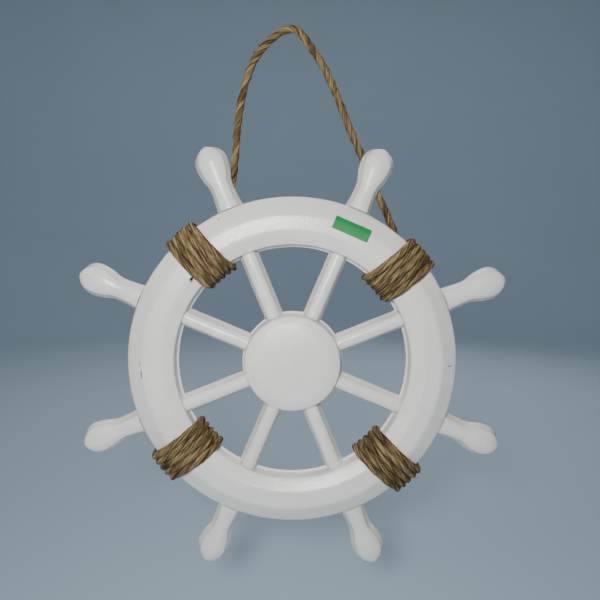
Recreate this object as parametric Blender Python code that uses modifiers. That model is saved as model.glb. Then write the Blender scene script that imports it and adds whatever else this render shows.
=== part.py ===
"""Ship's wheel wall hanging: painted wooden rim, spokes, hub and handles, bound and hung with jute rope.

Every wooden piece is drawn lying on its back, with X and Y in the plane of the wheel and Z as its
height above the back. The wheel_frame empty then stands the wheel upright, facing -Y, with +Z up
and the origin in the middle of the hub's back. Lengths are metres and angles are radians.
"""

from math import asin, atan2, ceil, cos, hypot, pi, radians, sin

import bmesh
import bpy
from mathutils import Matrix, Vector
from mathutils.geometry import interpolate_bezier

COLLECTION_NAME = "Ship wheel"
FIT_GAP = 0.0003  # clearance between two pieces that touch

# The wheel: a nominal 18 inches across the handles
SPOKE_COUNT = 8
SPOKE_STEP = 2 * pi / SPOKE_COUNT
FIRST_SPOKE = SPOKE_STEP / 2
TIP_RADIUS = 0.2265

# The rim, made of one segment to each spoke
RIM_OUTER = 0.1635
RIM_INNER = 0.1172
RIM_INNER_BACK = 0.1150  # the inner wall flares in to this radius at the back
RIM_HEIGHT = 0.022
RIM_OUTER_WALL = 0.0125  # height of the straight outer wall, below the bevel
RIM_INNER_WALL = 0.0148
RIM_INNER_FLARE = 0.0065  # height below which the inner wall flares
RIM_FLAT_OUTER = 0.1460  # radii of the flat band along the front
RIM_FLAT_INNER = 0.1297
RIM_CORNER_EASE = 0.0025  # how much is cut off each corner of the front
RIM_ARC_STEPS = 8

# The hub, a turned disc whose wall leans in towards the front
HUB_BASE_RADIUS = 0.0509
HUB_WALL_TOP_RADIUS = 0.0477
HUB_EDGE_RADIUS = 0.0464  # where the chamfer round the face begins
HUB_FACE_RADIUS = 0.0380
HUB_WALL_HEIGHT = 0.0155
HUB_EDGE_HEIGHT = 0.0180
HUB_FACE_HEIGHT = 0.0215
HUB_CROWN_HEIGHT = 0.0222
HUB_SIDES = 40

# Spokes: flat-backed bars with sloping flanks and a rounded front
FOOT_HEIGHT = 0.0012  # height of the narrow upright edge below a bar's flanks
SPOKE_WIDTH = 0.0190
SPOKE_FLANK_WIDTH = 0.0030
SPOKE_HEIGHT = 0.0135
SPOKE_FLANK_HEIGHT = 0.0085
SPOKE_FRONT_STEPS = 6

# Handles, which swell to a bulb: half widths at these radii from the wheel's centre
HANDLE_STATIONS = (
    (RIM_OUTER + 0.0004, 0.0132),
    (0.1690, 0.0124),
    (0.1760, 0.0117),
    (0.1850, 0.0113),
    (0.1910, 0.0120),
    (0.1960, 0.0137),
    (0.2010, 0.0151),
    (0.2070, 0.0160),
    (0.2120, 0.0162),
    (0.2170, 0.0152),
    (0.2210, 0.0130),
    (0.2238, 0.0101),
    (0.2256, 0.0067),
    (TIP_RADIUS, 0.0025),
)
HANDLE_HEIGHT = 0.0140
HANDLE_FLANK_WIDTH = 0.0036
HANDLE_FLANK_HEIGHT = 0.0080
HANDLE_FRONT_STEPS = 6

# Round tenons on the ends of the spokes and handles
TENON_RADIUS = 0.0042
TENON_LENGTH = 0.0095
TENON_AXIS_HEIGHT = 0.0072
SOCKET_RADIUS = TENON_RADIUS + FIT_GAP
SOCKET_DEPTH = TENON_LENGTH + 0.0005
TENON_SIDES = 12
TENON_OVERLAP = 0.006  # how far a tenon runs into the bar that it is joined to
CUTTER_MARGIN = 0.003  # how far a cutter stands out of what it cuts

# Jute rope: five turns bound round the rim in four places, and the loop that the wheel hangs by
WRAP_ROPE_RADIUS = 0.0033
WRAP_TURNS = 5
WRAP_PITCH = 2 * WRAP_ROPE_RADIUS + FIT_GAP
WRAP_PLACES = {  # bearing on the rim, and the hand that the rope is wound
    "rope_wrap_upper_right": (radians(42.0), 1),
    "rope_wrap_upper_left": (radians(130.8), -1),
    "rope_wrap_lower_left": (radians(220.0), 1),
    "rope_wrap_lower_right": (radians(314.5), -1),
}
WRAP_CORNER_STEP = radians(50)
WRAP_END_RADII = (0.150, 0.132)  # where the rope's two ends are glued down on the rim's back
HANGER_ROPE_RADIUS = 0.0036
HANGER_DEPTH = 0.0045  # how far behind the wheel's back the loop's centreline lies
HANGER_TIE_HEIGHT = 0.125  # the loop folds about the line through its two ends
HANGER_POINT_SPACING = 0.0095
HANGER_ROUTE = (  # X and Z of the centreline, from the left end over the top to the right end
    (-0.0760, HANGER_TIE_HEIGHT),
    (-0.0710, 0.1414),
    (-0.0655, 0.1593),
    (-0.0608, 0.1813),
    (-0.0578, 0.2104),
    (-0.0556, 0.2373),
    (-0.0514, 0.2621),
    (-0.0461, 0.2801),
    (-0.0403, 0.2943),
    (-0.0315, 0.3069),
    (-0.0198, 0.3178),
    (-0.0086, 0.3240),
    (0.0013, 0.3233),
    (0.0088, 0.3157),
    (0.0179, 0.3035),
    (0.0284, 0.2876),
    (0.0374, 0.2699),
    (0.0464, 0.2492),
    (0.0554, 0.2283),
    (0.0646, 0.2091),
    (0.0748, 0.1876),
    (0.0835, 0.1674),
    (0.0927, 0.1482),
    (0.0987, 0.1353),
    (0.1026, HANGER_TIE_HEIGHT),
)

# Paper label stuck on the front of the rim, blank
LABEL_LENGTH = 0.037
LABEL_WIDTH = 0.0127
LABEL_THICKNESS = 0.0002
LABEL_ANGLE = radians(67.3)
LABEL_RADIUS = 0.1395

PAINTED_WOOD = {"color": (0.80, 0.79, 0.75, 1.0), "roughness": 0.35}
JUTE = {"color": (0.34, 0.24, 0.13, 1.0), "roughness": 0.95}
HANGER_JUTE = {"color": (0.42, 0.29, 0.15, 1.0), "roughness": 0.95}
GREEN_PAPER = {"color": (0.02, 0.62, 0.27, 1.0), "roughness": 0.6}


def clear_scene():
    for obj in list(bpy.data.objects):
        bpy.data.objects.remove(obj, do_unlink=True)


def new_collection(name, hidden=False):
    collection = bpy.data.collections.new(name)
    collection.hide_render = hidden
    bpy.context.scene.collection.children.link(collection)
    return collection


def new_material(name, finish):
    material = bpy.data.materials.new(name)
    material.use_nodes = True
    shader = material.node_tree.nodes["Principled BSDF"]
    shader.inputs["Base Color"].default_value = finish["color"]
    shader.inputs["Roughness"].default_value = finish["roughness"]
    shader.inputs["Metallic"].default_value = 0.0
    return material


def new_object(name, data, collection, parent=None, turn=0.0):
    obj = bpy.data.objects.new(name, data)
    obj.parent = parent
    obj.rotation_euler.z = turn
    collection.objects.link(obj)
    return obj


def mesh_from_bmesh(name, bm):
    bmesh.ops.recalc_face_normals(bm, faces=bm.faces)
    mesh = bpy.data.meshes.new(name)
    bm.to_mesh(mesh)
    bm.free()
    mesh.shade_smooth()
    mesh.set_sharp_from_angle(angle=radians(35))
    return mesh


def finished_mesh(obj):
    """The object's mesh with its modifiers applied; the object itself is removed."""
    bpy.context.view_layer.update()
    graph = bpy.context.evaluated_depsgraph_get()
    mesh = bpy.data.meshes.new_from_object(obj.evaluated_get(graph))
    bpy.data.objects.remove(obj, do_unlink=True)
    mesh.shade_smooth()
    mesh.set_sharp_from_angle(angle=radians(35))
    return mesh


def boolean(obj, operation, other):
    modifier = obj.modifiers.new(f"{operation.title()} {other.name}", "BOOLEAN")
    modifier.operation = operation
    modifier.object = other
    modifier.solver = "EXACT"


def cylinder_along_x(name, collection, start, end, radius, height):
    """A cylinder from X = start to X = end whose axis runs at this height above the back."""
    bm = bmesh.new()
    place = Matrix.Translation(((start + end) / 2, 0, height)) @ Matrix.Rotation(pi / 2, 4, "Y")
    bmesh.ops.create_cone(
        bm,
        cap_ends=True,
        segments=TENON_SIDES,
        radius1=radius,
        radius2=radius,
        depth=end - start,
        matrix=place,
    )
    cylinder = new_object(name, mesh_from_bmesh(name, bm), collection)
    cylinder.hide_render = True
    cylinder.display_type = "WIRE"
    return cylinder


def rim_outline():
    """The rim's section without the hollow above its flare, (radius, height) from the back's inner corner."""
    return [
        (RIM_INNER_BACK, 0.0),
        (RIM_OUTER, 0.0),
        (RIM_OUTER, RIM_OUTER_WALL),
        (RIM_FLAT_OUTER, RIM_HEIGHT),
        (RIM_FLAT_INNER, RIM_HEIGHT),
        (RIM_INNER, RIM_INNER_WALL),
    ]


def eased_rim_outline():
    """The rim's section with its flare, and with each corner of the front cut off."""
    outline = [*rim_outline(), (RIM_INNER, RIM_INNER_FLARE)]
    points = []
    for index, corner in enumerate(outline):
        if corner[1] <= RIM_INNER_FLARE:
            points.append(corner)
            continue
        here = Vector(corner)
        for neighbour in (outline[index - 1], outline[(index + 1) % len(outline)]):
            toward = (Vector(neighbour) - here).normalized()
            points.append(tuple(here + RIM_CORNER_EASE * toward))
    return points


def segment_blank(name, outline, collection):
    """An outline of (radius, height) points swept through one segment's angle, centred on +X."""
    bm = bmesh.new()
    corners = [bm.verts.new((radius, 0, height)) for radius, height in outline]
    face = bm.faces.new(corners)
    sweep = SPOKE_STEP - FIT_GAP / RIM_INNER
    bmesh.ops.rotate(bm, verts=corners, matrix=Matrix.Rotation(-sweep / 2, 3, "Z"))
    bmesh.ops.spin(
        bm,
        geom=[face, *face.edges, *face.verts],
        cent=(0, 0, 0),
        axis=(0, 0, 1),
        angle=sweep,
        steps=RIM_ARC_STEPS,
    )
    return new_object(name, mesh_from_bmesh(name, bm), collection)


def build_rim_segments(parts, cutters, frame, material):
    """One segment to each spoke, with a socket for the spoke in its inner wall and one for the handle."""
    blank = segment_blank("rim_blank", eased_rim_outline(), cutters)
    for name, start, end in (
        ("spoke_socket", RIM_INNER_BACK - CUTTER_MARGIN, RIM_INNER + SOCKET_DEPTH),
        ("handle_socket", RIM_OUTER - SOCKET_DEPTH, RIM_OUTER + CUTTER_MARGIN),
    ):
        cutter = cylinder_along_x(name, cutters, start, end, SOCKET_RADIUS, TENON_AXIS_HEIGHT)
        boolean(blank, "DIFFERENCE", cutter)
    mesh = finished_mesh(blank)
    mesh.name = "rim_segment"
    mesh.materials.append(material)
    for index in range(SPOKE_COUNT):
        turn = FIRST_SPOKE + index * SPOKE_STEP
        new_object(f"rim_segment_{index + 1}", mesh, parts, frame, turn)


def hub_profile(clearance=0.0):
    """(radius, height) of the hub from the crown down its outer side to the back."""
    return [
        (0.0, HUB_CROWN_HEIGHT + clearance),
        (HUB_FACE_RADIUS / 2, HUB_CROWN_HEIGHT - 0.0001 + clearance),
        (HUB_FACE_RADIUS, HUB_FACE_HEIGHT + clearance),
        (HUB_EDGE_RADIUS + clearance, HUB_EDGE_HEIGHT + clearance),
        (HUB_WALL_TOP_RADIUS + clearance, HUB_WALL_HEIGHT + clearance),
        (HUB_BASE_RADIUS + clearance, -clearance),
        (0.0, -clearance),
    ]


def turned_object(name, profile, collection, sides):
    """A profile in the XZ plane, turned once round Z."""
    mesh = bpy.data.meshes.new(name)
    points = [(radius, 0, height) for radius, height in profile]
    mesh.from_pydata(points, [(i, i + 1) for i in range(len(points) - 1)], [])
    obj = new_object(name, mesh, collection)
    screw = obj.modifiers.new("Turn", "SCREW")
    screw.axis = "Z"
    screw.angle = 2 * pi
    screw.steps = sides
    screw.render_steps = sides
    screw.use_merge_vertices = True
    screw.merge_threshold = 0.00001
    return obj


def build_hub(parts, cutters, frame, material):
    blank = turned_object("hub_blank", hub_profile(), cutters, HUB_SIDES)
    for index in range(SPOKE_COUNT):
        socket = cylinder_along_x(
            f"hub_socket_{index + 1}",
            cutters,
            HUB_BASE_RADIUS - SOCKET_DEPTH,
            HUB_BASE_RADIUS + CUTTER_MARGIN,
            SOCKET_RADIUS,
            TENON_AXIS_HEIGHT,
        )
        socket.rotation_euler.z = FIRST_SPOKE + index * SPOKE_STEP
        boolean(blank, "DIFFERENCE", socket)
    mesh = finished_mesh(blank)
    mesh.name = "hub"
    mesh.materials.append(material)
    new_object("hub", mesh, parts, frame)


def bar_section(half_width, foot_height, flank, height, steps):
    """A flat-backed section as (Y, Z) points; flank is how far each side slopes in, and to what height.

    Above its flanks, the front is half an ellipse.
    """
    flank_width, flank_height = flank
    arch_half = half_width - flank_width
    arch_rise = height - flank_height
    arch = [
        (arch_half * cos(pi * i / steps), flank_height + arch_rise * sin(pi * i / steps))
        for i in range(steps + 1)
    ]
    right = [(half_width, 0.0), (half_width, foot_height)]
    left = [(-half_width, foot_height), (-half_width, 0.0)]
    return [*right, *arch, *left]


def lofted_mesh(name, sections):
    """A closed solid through sections of equal count: each is (X, [(Y, Z), ...])."""
    bm = bmesh.new()
    rings = [[bm.verts.new((x, y, z)) for y, z in outline] for x, outline in sections]
    for near, far in zip(rings, rings[1:]):
        for i in range(len(near)):
            j = (i + 1) % len(near)
            bm.faces.new((near[i], near[j], far[j], far[i]))
    bm.faces.new(rings[0])
    bm.faces.new(rings[-1])
    return mesh_from_bmesh(name, bm)


def build_spokes(parts, cutters, frame, material):
    """Bars from the hub's wall to the rim's, with a tenon on each end."""
    flank = (SPOKE_FLANK_WIDTH, SPOKE_FLANK_HEIGHT)
    section = bar_section(SPOKE_WIDTH / 2, FOOT_HEIGHT, flank, SPOKE_HEIGHT, SPOKE_FRONT_STEPS)
    inside_hub = HUB_WALL_TOP_RADIUS - CUTTER_MARGIN
    inside_rim = RIM_INNER + CUTTER_MARGIN
    bar_mesh = lofted_mesh("spoke_bar", [(inside_hub, section), (inside_rim, section)])
    bar = new_object("spoke_bar", bar_mesh, cutters)
    inner_wall = [
        (RIM_INNER_BACK - FIT_GAP, -FIT_GAP),
        (RIM_OUTER, -FIT_GAP),
        (RIM_OUTER, RIM_HEIGHT),
        (RIM_INNER - FIT_GAP, RIM_HEIGHT),
        (RIM_INNER - FIT_GAP, RIM_INNER_FLARE),
    ]
    rim_cutter = segment_blank("rim_cutter", inner_wall, cutters)
    rim_cutter.hide_render = True
    rim_cutter.display_type = "WIRE"
    boolean(bar, "DIFFERENCE", rim_cutter)
    hub_cutter = turned_object("hub_cutter", hub_profile(FIT_GAP), cutters, HUB_SIDES)
    hub_cutter.hide_render = True
    hub_cutter.display_type = "WIRE"
    boolean(bar, "DIFFERENCE", hub_cutter)
    inner_tenon = cylinder_along_x(
        "spoke_inner_tenon",
        cutters,
        HUB_BASE_RADIUS - TENON_LENGTH,
        HUB_BASE_RADIUS + TENON_OVERLAP,
        TENON_RADIUS,
        TENON_AXIS_HEIGHT,
    )
    outer_tenon = cylinder_along_x(
        "spoke_outer_tenon",
        cutters,
        RIM_INNER_BACK - TENON_OVERLAP,
        RIM_INNER + TENON_LENGTH,
        TENON_RADIUS,
        TENON_AXIS_HEIGHT,
    )
    boolean(bar, "UNION", inner_tenon)
    boolean(bar, "UNION", outer_tenon)
    mesh = finished_mesh(bar)
    mesh.name = "spoke"
    mesh.materials.append(material)
    for index in range(SPOKE_COUNT):
        new_object(f"spoke_{index + 1}", mesh, parts, frame, FIRST_SPOKE + index * SPOKE_STEP)


def build_handles(parts, cutters, frame, material):
    """Grips outside the rim in line with the spokes, each with a tenon let into the rim."""
    neck = min(half for _, half in HANDLE_STATIONS)
    sections = []
    for radius, half in HANDLE_STATIONS:
        round_off = min(1.0, half / neck)
        flank_height = HANDLE_FLANK_HEIGHT * (0.4 + 0.6 * round_off)
        top = flank_height + (HANDLE_HEIGHT - HANDLE_FLANK_HEIGHT) * round_off
        flank = (HANDLE_FLANK_WIDTH * round_off, flank_height)
        outline = bar_section(half, FOOT_HEIGHT, flank, top, HANDLE_FRONT_STEPS)
        sections.append((radius, outline))
    grip = new_object("handle_grip", lofted_mesh("handle_grip", sections), cutters)
    tenon = cylinder_along_x(
        "handle_tenon",
        cutters,
        RIM_OUTER - TENON_LENGTH,
        RIM_OUTER + TENON_OVERLAP,
        TENON_RADIUS,
        TENON_AXIS_HEIGHT,
    )
    boolean(grip, "UNION", tenon)
    mesh = finished_mesh(grip)
    mesh.name = "handle"
    mesh.materials.append(material)
    for index in range(SPOKE_COUNT):
        new_object(f"handle_{index + 1}", mesh, parts, frame, FIRST_SPOKE + index * SPOKE_STEP)


def offset_route(outline, distance, corner_step):
    """Points once round a convex outline at this distance, from its second corner to its first."""
    route = []
    count = len(outline)
    for index in range(1, count + 1):
        before, here, after = (outline[(index + k) % count] for k in (-1, 0, 1))
        start = atan2(here[1] - before[1], here[0] - before[0]) - pi / 2
        turn = (atan2(after[1] - here[1], after[0] - here[0]) - pi / 2 - start) % (2 * pi)
        steps = max(1, ceil(turn / corner_step))
        for step in range(steps + 1):
            angle = start + turn * step / steps
            route.append((here[0] + distance * cos(angle), here[1] + distance * sin(angle)))
    return route


def new_tube(name, points, radius, collection, bevel_resolution):
    """A POLY curve through the points, as a tube with filled ends."""
    curve = bpy.data.curves.new(name, "CURVE")
    curve.dimensions = "3D"
    curve.bevel_depth = radius
    curve.bevel_resolution = bevel_resolution
    curve.use_fill_caps = True
    spline = curve.splines.new("POLY")
    spline.points.add(len(points) - 1)
    for point, position in zip(spline.points, points):
        point.co = (*position, 1.0)
    return new_object(name, curve, collection)


def build_rope_wraps(parts, frame, material):
    """Rope wound round the rim's section, its turns side by side and square across the rim."""
    depth = WRAP_ROPE_RADIUS + FIT_GAP
    start_radius, end_radius = WRAP_END_RADII
    around = offset_route(rim_outline(), depth, WRAP_CORNER_STEP)
    path = [(start_radius, -depth), *(around * WRAP_TURNS), (end_radius, -depth)]
    travelled = [0.0]
    for near, far in zip(path, path[1:]):
        travelled.append(travelled[-1] + hypot(far[0] - near[0], far[1] - near[1]))
    once_round = travelled[1 + len(around)] - travelled[1]
    middle = travelled[-1] / 2
    for name, (angle, hand) in WRAP_PLACES.items():
        points = []
        for (radius, height), distance in zip(path, travelled):
            across = hand * WRAP_PITCH * (distance - middle) / once_round
            bearing = asin(across / radius)
            points.append((radius * cos(bearing), radius * sin(bearing), height))
        wrap = new_tube(name, points, WRAP_ROPE_RADIUS, parts, bevel_resolution=1)
        wrap.parent = frame
        wrap.rotation_euler.z = angle
        wrap.data.materials.append(material)


def smooth_route(knots, spacing):
    """Points along a smooth curve through the knots, about this far apart."""
    knots = [Vector(knot) for knot in knots]
    dense = []
    for i in range(len(knots) - 1):
        a, b = knots[i], knots[i + 1]
        before = knots[i - 1] if i else a + (a - b)
        after = knots[i + 2] if i + 2 < len(knots) else b + (b - a)
        near_handle = a + (b - before) / 6
        far_handle = b - (after - a) / 6
        dense.extend(interpolate_bezier(a, near_handle, far_handle, b, 24)[:-1])
    dense.append(knots[-1])
    travelled = [0.0]
    for near, far in zip(dense, dense[1:]):
        travelled.append(travelled[-1] + (far - near).length)
    count = ceil(travelled[-1] / spacing)
    points = []
    index = 0
    for step in range(count + 1):
        target = travelled[-1] * step / count
        while index < len(dense) - 2 and travelled[index + 1] < target:
            index += 1
        share = (target - travelled[index]) / (travelled[index + 1] - travelled[index])
        points.append(dense[index].lerp(dense[index + 1], share))
    return points


def build_hanger(parts, material):
    """The loop of rope behind the wheel's back, on a pivot through the two points where it is held."""
    pivot = bpy.data.objects.new("hanger_pivot", None)
    pivot.location = (0, HANGER_DEPTH, HANGER_TIE_HEIGHT)
    parts.objects.link(pivot)
    knots = [(x, 0, z - HANGER_TIE_HEIGHT) for x, z in HANGER_ROUTE]
    points = smooth_route(knots, HANGER_POINT_SPACING)
    rope = new_tube("hanger_rope", points, HANGER_ROPE_RADIUS, parts, bevel_resolution=2)
    rope.parent = pivot
    rope.data.materials.append(material)


def build_label(parts, frame, material):
    """A slip of paper lying on the flat band of the rim's front, along the rim."""
    bm = bmesh.new()
    bmesh.ops.create_cube(bm, size=1.0)
    bmesh.ops.scale(bm, verts=bm.verts, vec=(LABEL_WIDTH, LABEL_LENGTH, LABEL_THICKNESS))
    height = RIM_HEIGHT + FIT_GAP + LABEL_THICKNESS / 2
    bmesh.ops.translate(bm, verts=bm.verts, vec=(LABEL_RADIUS, 0, height))
    label = new_object("price_label", mesh_from_bmesh("price_label", bm), parts, frame, LABEL_ANGLE)
    label.data.materials.append(material)


def main():
    clear_scene()
    parts = new_collection(COLLECTION_NAME)
    cutters = new_collection("Cutters", hidden=True)
    frame = bpy.data.objects.new("wheel_frame", None)
    frame.rotation_euler.x = pi / 2
    parts.objects.link(frame)
    paint = {
        name: new_material(f"White paint, {name}", PAINTED_WOOD)
        for name in ("rim", "hub", "spokes", "handles")
    }
    build_rim_segments(parts, cutters, frame, paint["rim"])
    build_hub(parts, cutters, frame, paint["hub"])
    build_spokes(parts, cutters, frame, paint["spokes"])
    build_handles(parts, cutters, frame, paint["handles"])
    build_rope_wraps(parts, frame, new_material("Jute rope", JUTE))
    build_hanger(parts, new_material("Jute rope, hanger", HANGER_JUTE))
    build_label(parts, frame, new_material("Green paper", GREEN_PAPER))


main()
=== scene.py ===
"""Ship's wheel wall hanging: white painted wood, bound and hung with jute rope.

The wheel stands upright with its front facing -Y and +Z up, and the origin lies in the middle of
the hub's back. Wooden pieces are drawn as radius, bearing (anticlockwise from +X, seen from the
front) and height in front of the back. Lengths are metres and angles are radians.
"""

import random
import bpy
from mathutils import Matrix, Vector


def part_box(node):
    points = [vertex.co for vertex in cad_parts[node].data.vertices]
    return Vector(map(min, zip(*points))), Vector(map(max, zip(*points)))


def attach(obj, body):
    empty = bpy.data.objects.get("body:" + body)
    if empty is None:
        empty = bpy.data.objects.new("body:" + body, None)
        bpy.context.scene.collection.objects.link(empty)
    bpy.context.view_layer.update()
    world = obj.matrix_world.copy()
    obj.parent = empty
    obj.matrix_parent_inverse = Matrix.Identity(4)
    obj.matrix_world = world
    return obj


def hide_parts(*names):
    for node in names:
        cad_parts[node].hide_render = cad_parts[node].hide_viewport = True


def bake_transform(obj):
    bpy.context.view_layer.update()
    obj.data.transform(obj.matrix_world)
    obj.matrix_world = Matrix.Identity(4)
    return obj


bl_info = {
    "name": "Ship's Wheel Wall Hanging",
    "version": (1, 0, 0),
    "blender": (4, 5, 0),
    "location": "3D View > Sidebar > Ship's Wheel",
    "description": "Builds a rope-bound wooden ship's wheel round its jointed frame, in a small studio",
    "category": "Add Mesh",
}

from math import asin, atan2, ceil, cos, pi, radians, sin, sqrt

import bmesh
import bpy
from bpy.props import FloatProperty, FloatVectorProperty, IntProperty, PointerProperty
from mathutils import Matrix, Vector, noise
from mathutils.geometry import interpolate_bezier

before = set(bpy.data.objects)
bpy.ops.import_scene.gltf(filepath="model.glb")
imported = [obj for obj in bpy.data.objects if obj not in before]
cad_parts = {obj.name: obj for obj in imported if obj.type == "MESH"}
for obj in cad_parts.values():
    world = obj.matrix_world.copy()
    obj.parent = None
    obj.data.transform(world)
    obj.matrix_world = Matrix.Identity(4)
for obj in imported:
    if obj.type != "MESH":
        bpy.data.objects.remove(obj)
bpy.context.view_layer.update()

# Sizes read from the frame
RIM_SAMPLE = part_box("rim_segment_1")
RIM_OUTER = RIM_SAMPLE[1].x
RIM_HEIGHT = -RIM_SAMPLE[0].y
HUB_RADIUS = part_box("hub")[1].x
HUB_HEIGHT = -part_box("hub")[0].y
LABEL_MIDDLE = sum(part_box("price_label"), Vector()) / 2

SPOKE_COUNT = 8
SPOKE_STEP = 2 * pi / SPOKE_COUNT
FIRST_SPOKE = SPOKE_STEP / 2

# The rim's section: radius, height, and how far from the corner its rounding starts
RIM_INNER = 0.1172
RIM_FLAT_OUTER = 0.1460
RIM_FLAT_INNER = 0.1297
RIM_OUTER_WALL = 0.0125
RIM_INNER_WALL = 0.0148
RIM_CORNERS = (
    (0.1150, 0.0, 0.0004),
    (RIM_OUTER, 0.0, 0.0008),
    (RIM_OUTER, RIM_OUTER_WALL, 0.0028),
    (RIM_FLAT_OUTER, RIM_HEIGHT, 0.0030),
    (RIM_FLAT_INNER, RIM_HEIGHT, 0.0030),
    (RIM_INNER, RIM_INNER_WALL, 0.0018),
    (0.1168, 0.0025, 0.0008),
    (0.1150, 0.0014, 0.0005),
)

# The hub's section, from its foot up to the edge of its domed face
HUB_CORNERS = (
    (HUB_RADIUS, 0.0, 0.0004),
    (HUB_RADIUS, 0.0014, 0.0005),
    (0.0492, 0.0025, 0.0008),
    (0.0477, 0.0152, 0.0010),
    (0.0466, 0.0176, 0.0009),
    (0.0388, 0.0206, 0.0030),
)
HUB_FACE_RADIUS = 0.0375
HUB_FACE_DROP = 0.0015

# Spokes and handles: a narrow ledge along the back, steep flanks and a gently rounded front
LEDGE_WIDTH = 0.0006
LEDGE_HEIGHT = 0.0013
LEDGE_RISE = 0.0008
SPOKE_HALF_WIDTH = 0.0095
SPOKE_FLANK = (0.0034, 0.0100)
SPOKE_RISE = 0.0030
HANDLE_STATIONS = (  # radius from the wheel's centre, half width
    (RIM_OUTER + 0.0003, 0.0132),
    (0.1690, 0.0124),
    (0.1760, 0.0117),
    (0.1850, 0.0113),
    (0.1910, 0.0120),
    (0.1960, 0.0137),
    (0.2010, 0.0151),
    (0.2070, 0.0160),
    (0.2120, 0.0162),
    (0.2170, 0.0152),
    (0.2210, 0.0130),
    (0.2238, 0.0101),
    (0.2256, 0.0067),
    (0.2265, 0.0025),
)
HANDLE_FLANK = (0.0040, 0.0092)
HANDLE_RISE_SHARE = 0.38

# Rope bound round the rim in four places
WRAP_RADIUS = 0.0033
WRAP_FULLNESS = 1.10
WRAP_GAP = 0.0003
WRAP_TURNS = 5
WRAP_PLACES = {  # bearing on the rim, and the hand that the rope is wound
    "upper_right": (radians(42.0), 1),
    "upper_left": (radians(130.8), -1),
    "lower_left": (radians(220.0), 1),
    "lower_right": (radians(314.5), -1),
}
WRAP_END_RADII = (0.150, 0.132)
WRAP_OUTLINE = (
    (0.1150, 0.0),
    (RIM_OUTER, 0.0),
    (RIM_OUTER, RIM_OUTER_WALL),
    (RIM_FLAT_OUTER, RIM_HEIGHT),
    (RIM_FLAT_INNER, RIM_HEIGHT),
    (RIM_INNER, RIM_INNER_WALL),
)
# Long glossy fibres on the bindings' fronts; their near-white colour is a painted highlight
HIGHLIGHT_STRANDS = {  # turn, where along the front it starts and ends, and its half thickness
    "upper_right": ((1, 0.60, 0.88, 0.00030), (3, 0.25, 0.45, 0.00018)),
    "upper_left": ((1, 0.06, 0.55, 0.00032), (3, 0.06, 0.30, 0.00024), (3, 0.46, 0.66, 0.00024)),
    "lower_left": ((1, 0.10, 0.64, 0.00030), (3, 0.42, 0.85, 0.00022)),
    "lower_right": ((2, 0.05, 0.92, 0.00028), (1, 0.08, 0.84, 0.00040)),
}
HIGHLIGHT_STRAND_LIFT = 1.16
STRAND_REACH = 0.23
STRAND_RADIUS = 0.78
TUFT_FIBRES = 12
DARK_TUFTS = {  # where a few dark fibres stick out together, which way, and how far
    "upper_left": (((-0.0966, -0.0226, 0.0850), (-0.35, -0.25, -1.0), 0.0045),),
    "upper_right": (((0.0880, -0.0226, 0.1000), (-1.0, -0.3, -0.25), 0.0035),),
    "lower_left": (),
    "lower_right": (((0.1180, -0.0100, -0.1120), (1.0, -0.2, -0.6), 0.0070),),
}

# The loop that the wheel hangs by
HANGER_RADIUS = 0.0036
HANGER_DEPTH = 0.0045
HANGER_TIE_HEIGHT = 0.125
HANGER_ROUTE = (  # X and Z of the centreline, from the left end over the top to the right end
    (-0.0760, HANGER_TIE_HEIGHT),
    (-0.0710, 0.1414),
    (-0.0655, 0.1593),
    (-0.0608, 0.1813),
    (-0.0578, 0.2104),
    (-0.0556, 0.2373),
    (-0.0514, 0.2621),
    (-0.0461, 0.2801),
    (-0.0403, 0.2943),
    (-0.0315, 0.3069),
    (-0.0198, 0.3178),
    (-0.0086, 0.3240),
    (0.0013, 0.3233),
    (0.0088, 0.3157),
    (0.0179, 0.3035),
    (0.0284, 0.2876),
    (0.0374, 0.2699),
    (0.0464, 0.2492),
    (0.0554, 0.2283),
    (0.0646, 0.2091),
    (0.0748, 0.1876),
    (0.0835, 0.1674),
    (0.0927, 0.1482),
    (0.0987, 0.1353),
    (0.1026, HANGER_TIE_HEIGHT),
)
HANGER_TUCK = 0.011  # how far each end runs on, under the binding that holds it
HANGER_TUFTS = (  # as the bindings' dark tufts
    ((-0.0340, 0.0045, 0.3075), (-0.8, -0.2, 0.9), 0.0030),
    ((-0.0385, 0.0045, 0.3010), (-1.0, -0.2, 0.5), 0.0024),
    ((-0.0470, 0.0045, 0.2840), (-1.0, -0.2, 0.6), 0.0024),
)

# The paper label
LABEL_LENGTH = 0.037
LABEL_WIDTH = 0.0127
LABEL_RADIUS = 0.1435
LABEL_THICKNESS = 0.00015


# ------------------------------------------------------------------ properties


class WheelSizes(bpy.types.PropertyGroup):
    """Sizes that can change without moving a piece."""

    unevenness: FloatProperty(
        name="Unevenness",
        description="How far the sanded and painted surfaces stray from true",
        default=0.00014,
        min=0.0,
        unit="LENGTH",
    )
    wrap_lay: FloatProperty(
        name="Binding lay",
        description="Length of rope in which a strand of the rim's bindings goes once round",
        default=0.075,
        min=0.01,
        unit="LENGTH",
    )
    hanger_lay: FloatProperty(
        name="Loop lay",
        description="Length of rope in which a strand of the hanging loop goes once round",
        default=0.038,
        min=0.01,
        unit="LENGTH",
    )
    ring_spacing: FloatProperty(
        name="Ring spacing",
        description="Distance between the rings of points along a strand",
        default=0.0012,
        min=0.0005,
        unit="LENGTH",
    )
    fibres_per_metre: IntProperty(
        name="Fibres per metre",
        description="How many loose fibres stand out of each metre of rope",
        default=900,
        min=0,
    )
    streaks_per_metre: IntProperty(
        name="Streaks per metre",
        description="How many pale, and how many dark, fibres lie along each metre of rope",
        default=280,
        min=0,
    )


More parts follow.
